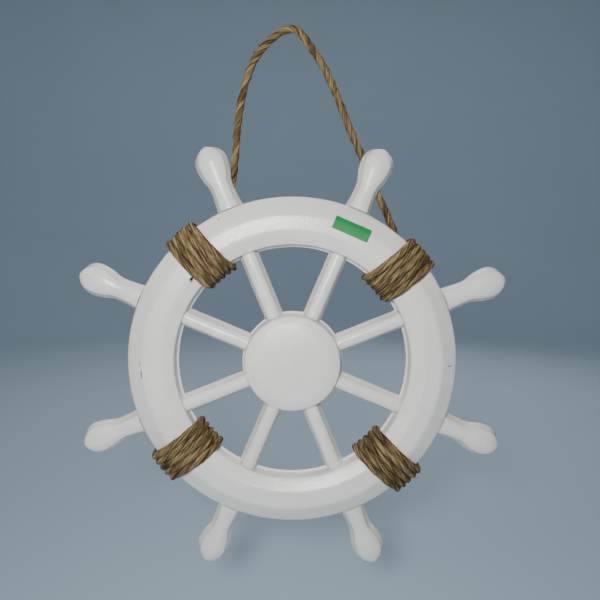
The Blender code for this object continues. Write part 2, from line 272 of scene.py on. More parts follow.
class WheelColours(bpy.types.PropertyGroup):
    """Colours of the paint, the rope and the label."""

    paint: FloatVectorProperty(
        name="Paint",
        description="Main colour of the paint on the wood",
        default=(0.80, 0.785, 0.745),
        subtype="COLOR",
    )
    paint_shade: FloatVectorProperty(
        name="Paint shade",
        description="Colour of the paint where it is thin or has greyed",
        default=(0.73, 0.71, 0.66),
        subtype="COLOR",
    )
    paint_by_joints: FloatVectorProperty(
        name="Paint by the joints",
        description="Colour of the paint beside the joints",
        default=(0.66, 0.58, 0.42),
        subtype="COLOR",
    )
    bare_wood: FloatVectorProperty(
        name="Cracks",
        description="Colour inside the cracks and nicks of the paint",
        default=(0.10, 0.06, 0.05),
        subtype="COLOR",
    )
    jute_dark: FloatVectorProperty(
        name="Dark jute",
        description="Darkest fibres of the rope",
        default=(0.018, 0.012, 0.005),
        subtype="COLOR",
    )
    jute: FloatVectorProperty(
        name="Jute",
        description="Most of the rope's fibres",
        default=(0.110, 0.071, 0.027),
        subtype="COLOR",
    )
    jute_pale: FloatVectorProperty(
        name="Pale jute",
        description="Palest fibres of the rope",
        default=(0.34, 0.245, 0.115),
        subtype="COLOR",
    )
    loop_tint: FloatVectorProperty(
        name="Loop tint",
        description="Multiplies the jute's colours on the hanging loop",
        default=(1.08, 1.04, 0.98),
        min=0.0,
        max=2.0,
        subtype="NONE",
    )
    label: FloatVectorProperty(
        name="Label",
        description="Colour of the paper label",
        default=(0.001, 0.24, 0.050),
        subtype="COLOR",
    )
    backdrop: FloatVectorProperty(
        name="Backdrop",
        description="Colour of the studio's floor and wall",
        default=(0.40, 0.52, 0.62),
        subtype="COLOR",
    )


class WheelStudio(bpy.types.PropertyGroup):
    """The camera and the lights."""

    lens: FloatProperty(
        name="Lens",
        description="Focal length for a sensor 36 mm wide, in millimetres",
        default=31.2,
        min=10.0,
    )
    camera_place: FloatVectorProperty(
        name="Camera",
        description="Where the camera stands",
        default=(0.0011, -0.5205, 0.1110),
        subtype="TRANSLATION",
        unit="LENGTH",
    )
    camera_turn: FloatProperty(
        name="Camera turn",
        description="Angle of the view to the right of straight ahead",
        default=radians(0.633),
        unit="ROTATION",
    )
    camera_tilt: FloatProperty(
        name="Camera tilt",
        description="Angle of the view below level",
        default=radians(5.381),
        unit="ROTATION",
    )
    camera_roll: FloatProperty(
        name="Camera roll",
        description="Roll of the camera about its view",
        default=radians(0.617),
        unit="ROTATION",
    )
    key_power: FloatProperty(
        name="Key light",
        description="Power of the light beside the camera",
        default=5.0,
        min=0.0,
        unit="POWER",
    )
    fill_power: FloatProperty(
        name="Fill light",
        description="Power of each of the large soft lights",
        default=1.5,
        min=0.0,
        unit="POWER",
    )
    wall_power: FloatProperty(
        name="Wall light",
        description="Power of the light that falls on the wall behind the wheel, in watts",
        default=22.0,
        min=0.0,
    )
    ambient: FloatProperty(
        name="Ambient light",
        description="Strength of the even light from all round",
        default=0.06,
        min=0.0,
    )
    floor_height: FloatProperty(
        name="Floor",
        description="Height of the studio floor",
        default=-0.33,
        unit="LENGTH",
    )


# ------------------------------------------------------------------- materials


class Signal:
    """A value that varies over a surface: arithmetic on it adds Math nodes."""

    def __init__(self, finish, socket):
        self.finish = finish
        self.socket = socket

    def __add__(self, other):
        return self.finish.maths("ADD", self, other)

    def __sub__(self, other):
        return self.finish.maths("SUBTRACT", self, other)

    def __rsub__(self, other):
        return self.finish.maths("SUBTRACT", other, self)

    def __mul__(self, other):
        return self.finish.maths("MULTIPLY", self, other)

    def __truediv__(self, other):
        return self.finish.maths("DIVIDE", self, other)

    def __pow__(self, other):
        return self.finish.maths("POWER", self, other)

    __radd__ = __add__
    __rmul__ = __mul__

    def distance_from(self, other):
        return self.finish.maths("ABSOLUTE", self - other)

    def clamped(self):
        return self.finish.node("ShaderNodeClamp", {}, {"Value": self})


class Finish:
    """A material under construction, with its Principled shader."""

    def __init__(self, name, **constants):
        self.material = bpy.data.materials.new(name)
        self.material.use_nodes = True
        self.tree = self.material.node_tree
        self.shader = self.tree.nodes["Principled BSDF"]
        for socket, value in constants.items():
            self.shader.inputs[socket.replace("_", " ")].default_value = value

    def node(self, kind, settings, inputs, output=0):
        """A node of this type, with its settings and the values or links of its sockets."""
        made = self.tree.nodes.new(kind)
        for name, value in settings.items():
            if name == "stops":
                self.set_stops(made.color_ramp, value)
            else:
                setattr(made, name, value)
        for key, value in inputs.items():
            self.feed(made.inputs[key], value)
        return Signal(self, made.outputs[output])

    def set_stops(self, ramp, stops):
        while len(ramp.elements) < len(stops):
            ramp.elements.new(1.0)
        for element, (position, colour) in zip(ramp.elements, stops):
            element.position = position
            element.color = (*colour, 1.0)

    def feed(self, socket, value):
        if isinstance(value, Signal):
            self.tree.links.new(value.socket, socket)
        elif socket.type == "RGBA" and len(value) == 3:
            socket.default_value = (*value, 1.0)
        else:
            socket.default_value = value

    def surface(self, **inputs):
        for socket, value in inputs.items():
            self.feed(self.shader.inputs[socket.replace("_", " ")], value)

    def maths(self, operation, first, second=0.0):
        return self.node("ShaderNodeMath", {"operation": operation}, {0: first, 1: second})

    def vector(self, operation, first, second, output=0):
        return self.node("ShaderNodeVectorMath", {"operation": operation}, {0: first, 1: second}, output)

    def place(self):
        """Position in the row frame."""
        return self.node("ShaderNodeTexCoord", {}, {}, "Object")

    def grain(self):
        """Position in the rope's own space: along a strand, then across it."""
        return self.node("ShaderNodeAttribute", {"attribute_name": "grain"}, {}, "Vector")

    def noise(self, vector, scale, detail=2.0, roughness=0.5):
        """Smooth noise from 0 to 1."""
        inputs = {"Vector": vector, "Scale": scale, "Detail": detail, "Roughness": roughness}
        return self.node("ShaderNodeTexNoise", {}, inputs)

    def blend(self, factor, first, second, mode="MIX"):
        """Two colours mixed by a factor."""
        inputs = {"Factor": factor, 6: first, 7: second}
        return self.node("ShaderNodeMix", {"data_type": "RGBA", "blend_type": mode}, inputs, 2)

    def ramp(self, value, stops):
        return self.node("ShaderNodeValToRGB", {"stops": stops}, {"Fac": value})

    def bump(self, height, distance, strength):
        inputs = {"Height": height, "Distance": distance, "Strength": strength}
        return self.node("ShaderNodeBump", {}, inputs)


def level(value, low, high):
    """The value stretched so that low becomes 0 and high becomes 1."""
    return ((value - low) / (high - low)).clamped()


def painted_wood(name, joints=(), marks=(), peel=1.0):
    """Semi-gloss brushed paint. Joints are radii beside which the paint is darker and yellower; marks are
    cracks and nicks.
    """
    colours = bpy.context.scene.wheel_colours
    finish = Finish(name, IOR=1.5, Coat_Weight=0.0)
    place = finish.place()
    drift = finish.noise(place, 16.0, 3.0, 0.6)
    patches = finish.noise(place, 70.0, 2.0)
    lumps = finish.noise(place, 380.0, 2.0, 0.55)
    fine = finish.noise(place, 1100.0, 2.0, 0.6)
    colour = finish.blend(level(drift, 0.35, 0.72), colours.paint, colours.paint_shade)
    colour = finish.blend(level(patches, 0.62, 0.80) * 0.35, colour, colours.paint_shade)
    # Darker, yellower paint in a ragged band beside each joint radius
    if joints:
        flat = finish.vector("MULTIPLY", place, (1.0, 0.0, 1.0))
        radius = finish.vector("LENGTH", flat, (0.0, 0.0, 0.0), "Value")
        ragged = 0.0016 * patches + 0.0008 * lumps
        for joint in joints:
            nearness = 1 - (radius.distance_from(joint) / (ragged + 0.0006)).clamped()
            colour = finish.blend(nearness * 0.35, colour, colours.paint_by_joints)
    groove = 0.0
    for middle, reach in marks:
        offset = finish.vector("SUBTRACT", place, middle)
        scaled = finish.vector("DIVIDE", offset, reach)
        away = finish.vector("LENGTH", scaled, (0.0, 0.0, 0.0), "Value")
        mark = level(1.0 - away + 0.9 * (lumps - 0.5), 0.0, 0.45)
        colour = finish.blend(mark * 0.85, colour, colours.bare_wood)
        groove = groove + mark
    height = 0.60 * lumps + 0.32 * fine + 0.8 * patches - 1.2 * groove
    finish.surface(
        Base_Color=colour,
        Roughness=0.13 + 0.12 * lumps + 0.10 * drift,
        Normal=finish.bump(height, 0.00040 * peel, 1.0),
    )
    return finish.material


def jute(name, tint=(1.0, 1.0, 1.0)):
    """Three-strand jute: streaks of fibre along each strand."""
    colours = bpy.context.scene.wheel_colours
    finish = Finish(name, Specular_IOR_Level=0.30)
    grain = finish.grain()
    coarse = finish.noise(finish.vector("MULTIPLY", grain, (40.0, 1300.0, 1300.0)), 1.0, 2.0)
    fine = finish.noise(finish.vector("MULTIPLY", grain, (150.0, 3600.0, 3600.0)), 1.0, 3.0, 0.65)
    drift = finish.noise(finish.vector("MULTIPLY", grain, (35.0, 180.0, 180.0)), 1.0, 2.0)
    tone = 0.50 * coarse + 0.38 * fine + 0.22 * drift
    stops = [
        (share, tuple(min(1.0, channel * factor) for channel, factor in zip(colour, tint)))
        for share, colour in (
            (0.46, colours.jute_dark),
            (0.54, colours.jute),
            (0.63, colours.jute_pale),
        )
    ]
    finish.surface(
        Base_Color=finish.ramp(tone, stops),
        Roughness=0.95 - 0.45 * level(fine, 0.55, 0.75),
        Normal=finish.bump(0.6 * coarse + 0.5 * fine, 0.0009, 0.85),
    )
    return finish.material


def loose_fibre(name, colour, roughness):
    """Single fibres, a little uneven in tone along their length."""
    finish = Finish(name, Specular_IOR_Level=0.4)
    tone = finish.noise(finish.place(), 260.0, 2.0)
    darker = tuple(0.62 * channel for channel in colour)
    finish.surface(
        Base_Color=finish.blend(level(tone, 0.35, 0.65), colour, darker),
        Roughness=roughness + 0.12 * tone,
    )
    return finish.material


def label_paper():
    """Coloured label stock, with the tooth of paper."""
    colours = bpy.context.scene.wheel_colours
    finish = Finish("Green label paper", IOR=1.45)
    place = finish.place()
    mottle = finish.noise(place, 420.0, 3.0, 0.6)
    tooth = finish.noise(place, 3200.0, 2.0)
    darker = tuple(0.80 * channel for channel in colours.label)
    finish.surface(
        Base_Color=finish.blend(level(mottle, 0.40, 0.75), colours.label, darker),
        Roughness=0.52 + 0.15 * mottle,
        Normal=finish.bump(tooth, 0.00008, 0.5),
    )
    return finish.material


def backdrop_paint():
    """Plain matt backdrop, very slightly uneven."""
    colours = bpy.context.scene.wheel_colours
    finish = Finish("Studio backdrop")
    mottle = finish.noise(finish.place(), 3.0, 2.0)
    darker = tuple(0.95 * channel for channel in colours.backdrop)
    finish.surface(
        Base_Color=finish.blend(mottle, colours.backdrop, darker),
        Roughness=0.88 + 0.05 * mottle,
    )
    return finish.material


# ---------------------------------------------------------------------- shapes


def on_wheel(radius, bearing, height):
    """A point of the wheel in the row frame."""
    return Vector((radius * cos(bearing), -height, radius * sin(bearing)))


def from_bar(turn, along, across, height):
    """A point beside a line from the wheel's centre at this bearing, in the row frame."""
    return Vector(
        (along * cos(turn) - across * sin(turn), -height, along * sin(turn) + across * cos(turn))
    )


def rounded(corners, steps=6):
    """An outline whose corners, (x, y, ease), are each turned into a smooth bend."""
    points = []
    for index, (x, y, ease) in enumerate(corners):
        here = Vector((x, y))
        before = Vector(corners[index - 1][:2])
        after = Vector(corners[(index + 1) % len(corners)][:2])
        start = here + ease * (before - here).normalized()
        end = here + ease * (after - here).normalized()
        for step in range(steps + 1):
            share = step / steps
            points.append(start.lerp(here, share).lerp(here.lerp(end, share), share))
    return points


def divided(points, longest):
    """A closed outline with points added so that no side is longer than this."""
    result = []
    for near, far in zip(points, [*points[1:], points[0]]):
        pieces = max(1, ceil((far - near).length / longest))
        result.extend(near.lerp(far, piece / pieces) for piece in range(pieces))
    return result


def hand_worked(points, amount):
    """The points moved slightly, as a sanded and painted surface strays from true."""
    return [
        point + amount * (noise.noise_vector(point * 45) + 0.35 * noise.noise_vector(point * 170))
        for point in points
    ]


def new_piece(name, mesh, material, cad_node=None):
    """An object for this mesh, with its material; it stands for a CAD node and takes a slot."""
    piece = bpy.data.objects.new(name, mesh)
    bpy.context.scene.collection.objects.link(piece)
    mesh.materials.append(material)
    if cad_node:
        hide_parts(cad_node)
    return piece


def smooth_mesh(name, bm, sharp_angle=radians(50)):
    bmesh.ops.recalc_face_normals(bm, faces=bm.faces)
    mesh = bpy.data.meshes.new(name)
    bm.to_mesh(mesh)
    bm.free()
    mesh.shade_smooth()
    mesh.set_sharp_from_angle(angle=sharp_angle)
    return mesh


def ringed_mesh(name, rings):
    """A closed mesh through rings of points of equal count, capped at both ends."""
    bm = bmesh.new()
    made = [[bm.verts.new(point) for point in ring] for ring in rings]
    count = len(rings[0])
    for near, far in zip(made, made[1:]):
        for i in range(count):
            j = (i + 1) % count
            bm.faces.new((near[i], near[j], far[j], far[i]))
    bm.faces.new(made[0])
    bm.faces.new(made[-1])
    return smooth_mesh(name, bm)


def tube_set(name, tubes):
    """One mesh of closed tubes, each given as rings of points and each point's place in the fibre."""
    points = []
    grains = []
    faces = []
    for rings, grain in tubes:
        first = len(points)
        sides = len(rings[0])
        for ring in rings:
            points.extend(ring)
        for ring in grain:
            grains.extend(ring)
        for ring in range(len(rings) - 1):
            start = first + ring * sides
            for i in range(sides):
                j = (i + 1) % sides
                faces.append((start + i, start + j, start + sides + j, start + sides + i))
        last = first + (len(rings) - 1) * sides
        faces.append(tuple(range(first + sides - 1, first - 1, -1)))
        faces.append(tuple(range(last, last + sides)))
    mesh = bpy.data.meshes.new(name)
    mesh.from_pydata(points, [], faces)
    attribute = mesh.attributes.new("grain", "FLOAT_VECTOR", "POINT")
    attribute.data.foreach_set("vector", [number for grain in grains for number in grain])
    bm = bmesh.new()
    bm.from_mesh(mesh)
    bmesh.ops.recalc_face_normals(bm, faces=bm.faces)
    bm.to_mesh(mesh)
    bm.free()
    mesh.shade_smooth()
    mesh.set_sharp_from_angle(angle=radians(60))
    return mesh


# ----------------------------------------------------------------------- ropes


class RopeLine:
    """A rope's centreline at even spacing, with an outward and a sideways direction at each point."""

    def __init__(self, points, sideways, spacing):
        """sideways gives, for each of the points, a direction square to the line."""
        travelled = [0.0]
        for near, far in zip(points, points[1:]):
            travelled.append(travelled[-1] + (far - near).length)
        self.length = travelled[-1]
        count = ceil(self.length / spacing)
        self.points = []
        self.side = []
        index = 0
        for step in range(count + 1):
            target = self.length * step / count
            while index < len(points) - 2 and travelled[index + 1] < target:
                index += 1
            share = (target - travelled[index]) / (travelled[index + 1] - travelled[index])
            self.points.append(points[index].lerp(points[index + 1], share))
            self.side.append(sideways[index].lerp(sideways[index + 1], share))
        self.spacing = self.length / count
        self.along = []
        self.out = []
        for index, side in enumerate(self.side):
            near = self.points[max(0, index - 2)]
            far = self.points[min(count, index + 2)]
            along = (far - near).normalized()
            side = (side - side.dot(along) * along).normalized()
            self.along.append(along)
            self.side[index] = side
            self.out.append(side.cross(along).normalized())

    def around(self, index, angle):
        """The direction at this angle round the rope: 0 is outward."""
        return cos(angle) * self.out[index] + sin(angle) * self.side[index]


def strand_angle(along, strand, lay, hand, seed):
    """How far round the rope a strand has gone, this far along it."""
    wander = 0.35 * noise.noise(Vector((along * 25, seed, 7.3)))
    return hand * (2 * pi * along / lay + wander) + 2 * pi * strand / 3


def strands(line, radius, lay, hand, seed, sides=12):
    """The tubes of a three-strand rope along this line."""
    tubes = []
    for strand in range(3):
        rings = []
        grains = []
        shift = 0.37 * strand + 0.91 * seed
        for index, centre in enumerate(line.points):
            along = index * line.spacing
            angle = strand_angle(along, strand, lay, hand, seed)
            swell = 1 + 0.08 * noise.noise(Vector((along * 60, shift, 2.1)))
            middle = centre + STRAND_REACH * radius * line.around(index, angle)
            ring = []
            grain = []
            for side in range(sides):
                across = 2 * pi * side / sides
                x, y = cos(across), sin(across)
                yarn = 0.11 * noise.noise(Vector((along * 40, 2.6 * x, 2.6 * y + shift)))
                size = STRAND_RADIUS * radius * (swell + yarn)
                ring.append(middle + size * line.around(index, angle + across))
                grain.append((along + shift, radius * x / 2 + 0.1 * shift, radius * y / 2))
            rings.append(ring)
            grains.append(grain)
        tubes.append((rings, grains))
    return tubes


def laid_fibres(line, radius, lay, hand, seed, count, rng):
    """Single fibres that lie on the strands, in line with them."""
    tubes = []
    last = len(line.points) - 1
    for _ in range(count):
        span = rng.randint(5, 18)
        first = rng.randint(2, last - span - 2)
        strand = rng.randrange(3)
        start = rng.uniform(-1.1, 1.1)
        slant = rng.uniform(-0.5, 0.5)
        points = []
        for step in range(span + 1):
            index = first + step
            share = step / span
            angle = strand_angle(index * line.spacing, strand, lay, hand, seed)
            middle = line.points[index] + STRAND_REACH * radius * line.around(index, angle)
            lift = (STRAND_RADIUS + 0.03 + 0.03 * sin(pi * share)) * radius
            points.append(middle + lift * line.around(index, angle + start + slant * share))
        tubes.append(thread(points, rng.uniform(0.00012, 0.00028)))
    return tubes


def tuft(root, aim, length, rng):
    """A few fibres that stick out together from one place."""
    tubes = []
    aim = Vector(aim).normalized()
    for _ in range(TUFT_FIBRES):
        stray = Vector([rng.uniform(-0.45, 0.45) for _ in range(3)])
        bend = Vector([rng.uniform(-0.3, 0.3) for _ in range(3)])
        reach = length * rng.uniform(0.6, 1.1)
        start = Vector(root) + 0.0006 * stray
        points = [start + reach * k / 5 * (aim + stray + k / 5 * bend) for k in range(6)]
        tubes.append(thread(points, rng.uniform(0.00018, 0.00034)))
    return tubes


def thread(points, thickness, sides=4, taper=0.25):
    """A single fibre through these points, as a tube that thins towards its end."""
    rings = []
    grains = []
    last = len(points) - 1
    for index, point in enumerate(points):
        near = points[max(0, index - 1)]
        far = points[min(last, index + 1)]
        along = (far - near).normalized()
        first = along.orthogonal().normalized()
        second = along.cross(first)
        size = thickness * (1 - (1 - taper) * (index / last) ** 1.5)
        ring = [
            point + size * (cos(2 * pi * k / sides) * first + sin(2 * pi * k / sides) * second)
            for k in range(sides)
        ]
        rings.append(ring)
        grains.append([(0.01 * index, 0.0001 * k, 0.0) for k in range(sides)])
    return rings, grains


def fuzz(line, radius, count, rng, spread=pi):
    """Loose fibres that stand out of the rope, at most this far round from its outward side."""
    tubes = []
    last = len(line.points) - 1
    for _ in range(count):
        index = rng.randint(4, last - 4)
        angle = rng.uniform(-spread, spread)
        start = line.points[index] + 0.80 * radius * line.around(index, angle)
        outward = line.around(index, angle)
        forward = rng.choice((-1, 1)) * line.along[index]
        curl = rng.uniform(-0.5, 0.5) * outward.cross(forward)
        length = rng.uniform(0.002, 0.0075)
        lift = rng.uniform(0.10, 0.60)
        points = []
        for step in range(5):
            share = step / 4
            reach = forward * share + curl * share**2 + outward * lift * share**1.5
            points.append(start + length * reach + 0.0006 * share * outward)
        tubes.append(thread(points, rng.uniform(0.00009, 0.00016)))
    return tubes


def offset_route(outline, distance, corner_step):
    """Points once round a convex outline at this distance, from its second corner to its first."""
    route = []
    count = len(outline)
    for index in range(1, count + 1):
        before, here, after = (outline[(index + k) % count] for k in (-1, 0, 1))
        start = atan2(here[1] - before[1], here[0] - before[0]) - pi / 2
        turn = (atan2(after[1] - here[1], after[0] - here[0]) - pi / 2 - start) % (2 * pi)
        steps = max(1, ceil(turn / corner_step))
        for step in range(steps + 1):
            angle = start + turn * step / steps
            route.append((here[0] + distance * cos(angle), here[1] + distance * sin(angle)))
    return route


def wrap_line(place, spacing):
    """The centreline of one binding, and the indices along it where each turn's front begins and ends."""
    bearing, hand = WRAP_PLACES[place]
    depth = WRAP_RADIUS + WRAP_GAP
    around = offset_route(WRAP_OUTLINE, depth, radians(12))
    start_radius, end_radius = WRAP_END_RADII
    path = [(start_radius, -depth), *(around * WRAP_TURNS), (end_radius, -depth)]
    travelled = [0.0]
    for near, far in zip(path, path[1:]):
        travelled.append(travelled[-1] + sqrt((far[0] - near[0]) ** 2 + (far[1] - near[1]) ** 2))
    once_round = travelled[1 + len(around)] - travelled[1]
    pitch = 2 * WRAP_RADIUS + WRAP_GAP
    seed = list(WRAP_PLACES).index(place)
    points = []
    sideways = []
    for (radius, height), distance in zip(path, travelled):
        wander = 0.00045 * noise.noise(Vector((distance * 14, 3.7 * seed, 0.5)))
        across = hand * pitch * (distance - travelled[-1] / 2) / once_round + wander
        here = bearing + asin(across / radius)
        points.append(on_wheel(radius, here, height))
        sideways.append(-Vector((-sin(here), 0.0, cos(here))))
    line = RopeLine(points, sideways, spacing)
    fronts = []
    inside = False
    for index, point in enumerate(line.points):
        in_front = -point.y > RIM_HEIGHT
        if in_front and not inside:
            fronts.append([index, index])
        if in_front:
            fronts[-1][1] = index
        inside = in_front
    return line, fronts


def highlight_strand(line, front, start, end, thickness, sway):
    """A long glossy fibre lying along the front of one turn; its near-white colour is a painted
    highlight.
    """
    first, last = front
    lift = HIGHLIGHT_STRAND_LIFT * WRAP_FULLNESS * WRAP_RADIUS
    low = first + int(start * (last - first))
    high = first + int(end * (last - first))
    points = []
    for index in range(low, high + 1, 2):
        share = (index - low) / (high - low)
        angle = sway * (0.5 - share) + 0.25 * sin(5 * share)
        points.append(line.points[index] + lift * line.around(index, angle))
    return thread(points, thickness, sides=6, taper=0.35)


def smooth_route(knots):
    """Close-set points along a smooth curve through the knots."""
    points = []
    for i in range(len(knots) - 1):
        a, b = knots[i], knots[i + 1]
        before = knots[i - 1] if i else a + (a - b)
        after = knots[i + 2] if i + 2 < len(knots) else b + (b - a)
        points.extend(interpolate_bezier(a, a + (b - before) / 6, b - (after - a) / 6, b, 24)[:-1])
    return [*points, knots[-1]]


# ------------------------------------------------------------------- operators


class WHEEL_OT_studio(bpy.types.Operator):
    """Add the floor that sweeps up into a wall, the lights and the camera."""

    bl_idname = "ships_wheel.studio"
    bl_label = "Studio"

    def execute(self, context):
        studio = context.scene.wheel_studio
        self.add_floor(context, studio.floor_height)
        self.add_camera(context, studio)
        self.add_light(context, "key_light", (-0.09, -0.60, 0.19), 0.14, studio.key_power)
        self.add_light(context, "left_fill", (-1.30, -1.10, 1.10), 1.2, studio.fill_power)
        self.add_light(context, "right_fill", (1.40, -1.00, 0.50), 1.2, 0.45 * studio.fill_power)
        self.add_light(context, "back_fill", (0.60, 1.60, 0.90), 1.2, 3.0 * studio.fill_power)
        wall_place, wall_aim = (0.0, 0.55, 1.70), (0.0, 2.6, -0.2)
        self.add_light(context, "wall_light", wall_place, 1.4, studio.wall_power, wall_aim)
        world = bpy.data.worlds.new("Studio air")
        world.use_nodes = True
        context.scene.world = world
        background = world.node_tree.nodes["Background"]
        background.inputs["Color"].default_value = (0.97, 0.98, 1.0, 1.0)
        background.inputs["Strength"].default_value = studio.ambient
        return {"FINISHED"}

    def add_floor(self, context, height):
        """A round floor whose edge sweeps up into a wall all round."""
        sweep = 1.0
        flat = 2.2
        wall_top = 2.4
        profile = [(0.3, height), (flat, height)]
        for step in range(1, 13):
            angle = pi / 2 * step / 12
            profile.append((flat + sweep * sin(angle), height + sweep * (1 - cos(angle))))
        profile.append((flat + sweep, wall_top))
        sides = 96
        bm = bmesh.new()
        rings = []
        for radius, z in profile:
            ring = []
            for k in range(sides):
                angle = 2 * pi * k / sides
                ring.append(bm.verts.new((radius * cos(angle), radius * sin(angle), z)))
            rings.append(ring)
        for near, far in zip(rings, rings[1:]):
            for k in range(sides):
                j = (k + 1) % sides
                bm.faces.new((near[k], near[j], far[j], far[k]))
        bm.faces.new(rings[0])
        floor = new_piece("studio_floor", smooth_mesh("studio_floor", bm), backdrop_paint())

    def add_camera(self, context, studio):
        camera = bpy.data.objects.new("camera", bpy.data.cameras.new("camera"))
        camera.data.lens = studio.lens
        camera.data.sensor_width = 36.0
        camera.data.clip_start = 0.01
        turn, tilt, roll = studio.camera_turn, studio.camera_tilt, studio.camera_roll
        forward = Vector((sin(turn) * cos(tilt), cos(turn) * cos(tilt), -sin(tilt)))
        level_right = forward.cross(Vector((0, 0, 1))).normalized()
        level_up = level_right.cross(forward)
        right = cos(roll) * level_right + sin(roll) * level_up
        up = cos(roll) * level_up - sin(roll) * level_right
        turned = Matrix((right, up, -forward)).transposed()
        camera.matrix_world = Matrix.Translation(studio.camera_place) @ turned.to_4x4()
        context.scene.collection.objects.link(camera)
        context.scene.camera = camera

    def add_light(self, context, name, place, size, power, aim=(0.0, 0.0, 0.03)):
        light = bpy.data.lights.new(name, "AREA")
        light.shape = "DISK"
        light.size = size
        light.energy = power
        lamp = bpy.data.objects.new(name, light)
        lamp.location = place
        direction = Vector(aim) - Vector(place)
        lamp.rotation_euler = direction.to_track_quat("-Z", "Y").to_euler()
        context.scene.collection.objects.link(lamp)


class WHEEL_OT_hanging_loop(bpy.types.Operator):
    """Add the rope loop behind the wheel, with its two tied ends."""

    bl_idname = "ships_wheel.hanging_loop"
    bl_label = "Hanging loop"

    def execute(self, context):
        sizes = context.scene.wheel_sizes
        colours = context.scene.wheel_colours
        knots = [Vector((x, HANGER_DEPTH, z)) for x, z in HANGER_ROUTE]
        route = smooth_route(knots)
        route.insert(0, route[0] + HANGER_TUCK * (route[0] - route[1]).normalized())
        route.append(route[-1] + HANGER_TUCK * (route[-1] - route[-2]).normalized())
        line = RopeLine(route, [Vector((0, 1, 0))] * len(route), sizes.ring_spacing)
        twist = (line, HANGER_RADIUS, sizes.hanger_lay, 1, 5)
        rope = new_piece(
            "hanging_loop",
            tube_set("hanging_loop", strands(*twist)),
            jute("Jute, hanging loop", tuple(colours.loop_tint)),
            "hanger_rope",
        )
        count = int(line.length * sizes.fibres_per_metre)
        rng = random.Random(11)
        hairs = fuzz(line, HANGER_RADIUS, count, rng)
        streaks = int(line.length * sizes.streaks_per_metre)
        hairs += laid_fibres(*twist, streaks, rng)
        fibres = new_piece(
            "hanging_loop_fibres",
            tube_set("hanging_loop_fibres", hairs),
            loose_fibre("Loose jute fibres, loop", (0.34, 0.25, 0.13), 0.6),
        )
        shadows = laid_fibres(*twist, streaks, rng)
        for root, aim, length in HANGER_TUFTS:
            shadows += tuft(root, aim, length, rng)
        dark_fibres = new_piece(
            "hanging_loop_dark_fibres",
            tube_set("hanging_loop_dark_fibres", shadows),
            loose_fibre("Dark jute fibres, loop", (0.032, 0.019, 0.006), 0.8),
        )
        for piece in (rope, fibres, dark_fibres):
            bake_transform(piece)
        return {"FINISHED"}


class WHEEL_OT_rim(bpy.types.Operator):
    """Add the eight painted segments of the rim."""

    bl_idname = "ships_wheel.rim"
    bl_label = "Rim"

    def execute(self, context):
        sizes = context.scene.wheel_sizes
        paint = painted_wood("White paint, rim", marks=rim_marks())
        outline = divided(rounded(RIM_CORNERS), 0.0045)
        steps = 24
        for index in range(SPOKE_COUNT):
            rings = []
            for step in range(steps + 1):
                bearing = SPOKE_STEP * (index + step / steps)
                ring = [on_wheel(point.x, bearing, point.y) for point in outline]
                rings.append(hand_worked(ring, sizes.unevenness))
            name = f"rim_segment_{index + 1}"
            mesh = ringed_mesh(f"{name}_painted", rings)
            piece = new_piece(f"{name}_painted", mesh, paint, name)
            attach(piece, "wheel")
        return {"FINISHED"}


def rim_marks():
    """Cracks over two of the rim's joints and a nick, as (middle, reach along X, Y and Z)."""
    return (
        (on_wheel(0.1478, radians(184.2), 0.0210), (0.0009, 0.0030, 0.0055)),
        (on_wheel(0.1490, radians(180.1), 0.0204), (0.0006, 0.0030, 0.0022)),
        (on_wheel(0.1555, radians(-0.2), 0.0168), (0.0032, 0.0030, 0.0007)),
        (on_wheel(0.1582, radians(117.3), 0.0154), (0.0010, 0.0030, 0.0010)),
    )


class WHEEL_OT_hub(bpy.types.Operator):
    """Add the turned and painted hub."""

    bl_idname = "ships_wheel.hub"
    bl_label = "Hub"

    def execute(self, context):
        sizes = context.scene.wheel_sizes
        corners = [(0.0, 0.0, 0.0), *HUB_CORNERS, (0.0, HUB_HEIGHT, 0.0)]
        wall = rounded(corners)
        edge = [point for point in wall if point.x > HUB_FACE_RADIUS * 0.5]
        profile = [Vector((HUB_FACE_RADIUS * 0.5, 0.0)), *edge]
        dome_steps = 10
        for step in range(dome_steps):
            radius = HUB_FACE_RADIUS * (1 - step / dome_steps)
            drop = HUB_FACE_DROP * (radius / HUB_FACE_RADIUS) ** 2
            if radius < edge[-1].x - 0.001:
                profile.append(Vector((radius, HUB_HEIGHT - drop)))
        sides = 144
        bm = bmesh.new()
        rings = []
        for point in profile:
            ring = [on_wheel(point.x, 2 * pi * side / sides, point.y) for side in range(sides)]
            rings.append([bm.verts.new(place) for place in hand_worked(ring, sizes.unevenness)])
        for near, far in zip(rings, rings[1:]):
            for side in range(sides):
                after = (side + 1) % sides
                bm.faces.new((near[side], near[after], far[after], far[side]))
        for ring, height in ((rings[0], 0.0), (rings[-1], HUB_HEIGHT)):
            middle = bm.verts.new((0.0, -height, 0.0))
            for side in range(sides):
                bm.faces.new((ring[side], ring[(side + 1) % sides], middle))
        paint = painted_wood("White paint, hub", peel=1.6)
        piece = new_piece("hub_painted", smooth_mesh("hub_painted", bm), paint, "hub")
        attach(piece, "wheel")
        return {"FINISHED"}


